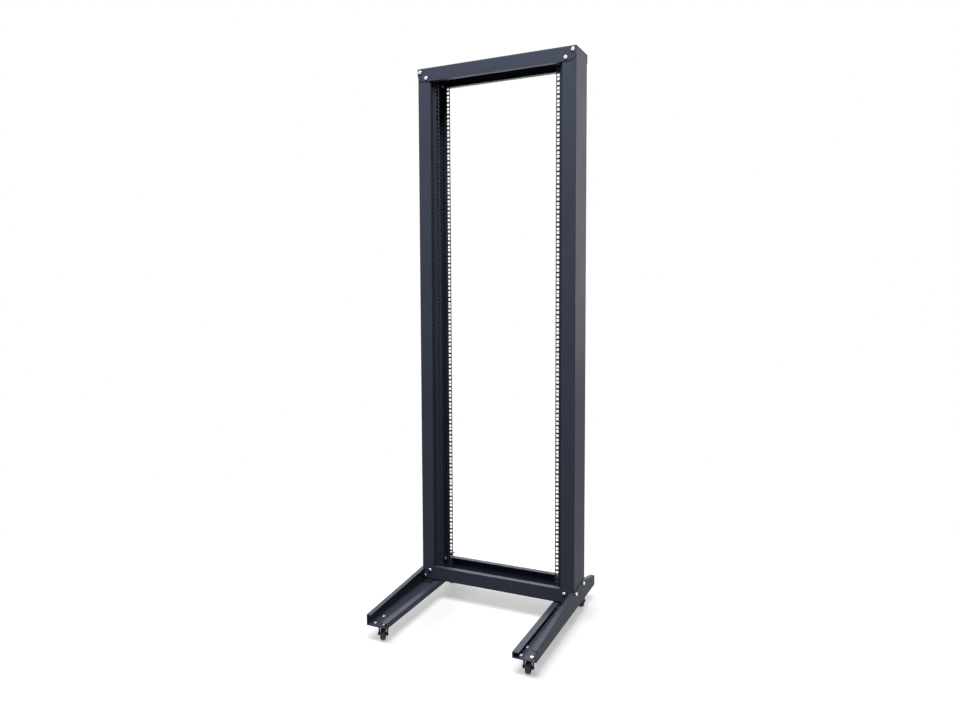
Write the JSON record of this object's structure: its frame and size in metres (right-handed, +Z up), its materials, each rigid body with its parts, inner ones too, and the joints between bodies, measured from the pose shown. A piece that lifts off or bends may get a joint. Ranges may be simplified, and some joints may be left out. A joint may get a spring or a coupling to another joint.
{
  "type": "two post open frame rack",
  "caption": "Open equipment frame with two folded uprights carrying perforated rails, a header, a bottom beam and two channel feet on swivel casters.",
  "frame": {"origin": "on the floor under the middle of the feet", "axes": "+X to the rack's right as seen from the front, +Y from the toes to the heels, +Z up"},
  "size_m": [0.608, 0.73, 2.0479],
  "materials": {
    "powder_coat": "satin",
    "black_steel": "satin",
    "zinc": "satin",
    "wheel_nylon": "matte"
  },
  "bodies": {
    "rack": {"left_upright_web": "powder_coat", "left_upright_front_flange": "powder_coat", "left_upright_rear_flange": "powder_coat", "left_upright_front_return": "powder_coat", "left_upright_rear_return": "powder_coat", "right_upright_web": "powder_coat", "right_upright_front_flange": "powder_coat", "right_upright_rear_flange": "powder_coat", "right_upright_front_return": "powder_coat", "right_upright_rear_return": "powder_coat", "left_front_rail": "powder_coat", "left_rear_rail": "powder_coat", "right_front_rail": "powder_coat", "right_rear_rail": "powder_coat", "top_header": "powder_coat", "bottom_beam": "powder_coat", "left_foot": "powder_coat", "right_foot": "powder_coat", "front_left_caster_plate": "black_steel", "front_right_caster_plate": "black_steel", "rear_left_caster_plate": "black_steel", "rear_right_caster_plate": "black_steel"},
    "front_left_swivel": {"front_left_caster_fork": "black_steel", "front_left_caster_axle": "zinc"},
    "front_left_roller": {"front_left_caster_wheel": "wheel_nylon"},
    "front_right_swivel": {"front_right_caster_fork": "black_steel", "front_right_caster_axle": "zinc"},
    "front_right_roller": {"front_right_caster_wheel": "wheel_nylon"},
    "rear_left_swivel": {"rear_left_caster_fork": "black_steel", "rear_left_caster_axle": "zinc"},
    "rear_left_roller": {"rear_left_caster_wheel": "wheel_nylon"},
    "rear_right_swivel": {"rear_right_caster_fork": "black_steel", "rear_right_caster_axle": "zinc"},
    "rear_right_roller": {"rear_right_caster_wheel": "wheel_nylon"}
  },
  "joints": [
    {"name": "front_left_swivel_turn", "type": "hinge", "parent": "rack", "child": "front_left_swivel", "pos_m": [-0.2645, -0.312, 0.05], "axis": [0, 0, 1], "continuous": true},
    {"name": "front_left_wheel_spin", "type": "hinge", "parent": "front_left_swivel", "child": "front_left_roller", "pos_m": [-0.25894, -0.32912, 0.021], "axis": [0.9511, 0.309, 0], "continuous": true},
    {"name": "front_right_swivel_turn", "type": "hinge", "parent": "rack", "child": "front_right_swivel", "pos_m": [0.2645, -0.312, 0.05], "axis": [0, 0, 1], "continuous": true},
    {"name": "front_right_wheel_spin", "type": "hinge", "parent": "front_right_swivel", "child": "front_right_roller", "pos_m": [0.26669, -0.32987, 0.021], "axis": [0.9925, 0.1219, 0], "continuous": true},
    {"name": "rear_left_swivel_turn", "type": "hinge", "parent": "rack", "child": "rear_left_swivel", "pos_m": [-0.2645, 0.282, 0.05], "axis": [0, 0, 1], "continuous": true},
    {"name": "rear_left_wheel_spin", "type": "hinge", "parent": "rear_left_swivel", "child": "rear_left_roller", "pos_m": [-0.25776, 0.26531, 0.021], "axis": [0.9272, 0.3746, 0], "continuous": true},
    {"name": "rear_right_swivel_turn", "type": "hinge", "parent": "rack", "child": "rear_right_swivel", "pos_m": [0.2645, 0.282, 0.05], "axis": [0, 0, 1], "continuous": true},
    {"name": "rear_right_wheel_spin", "type": "hinge", "parent": "rear_right_swivel", "child": "rear_right_roller", "pos_m": [0.27508, 0.26744, 0.021], "axis": [0.809, 0.5878, 0], "continuous": true}
  ]
}
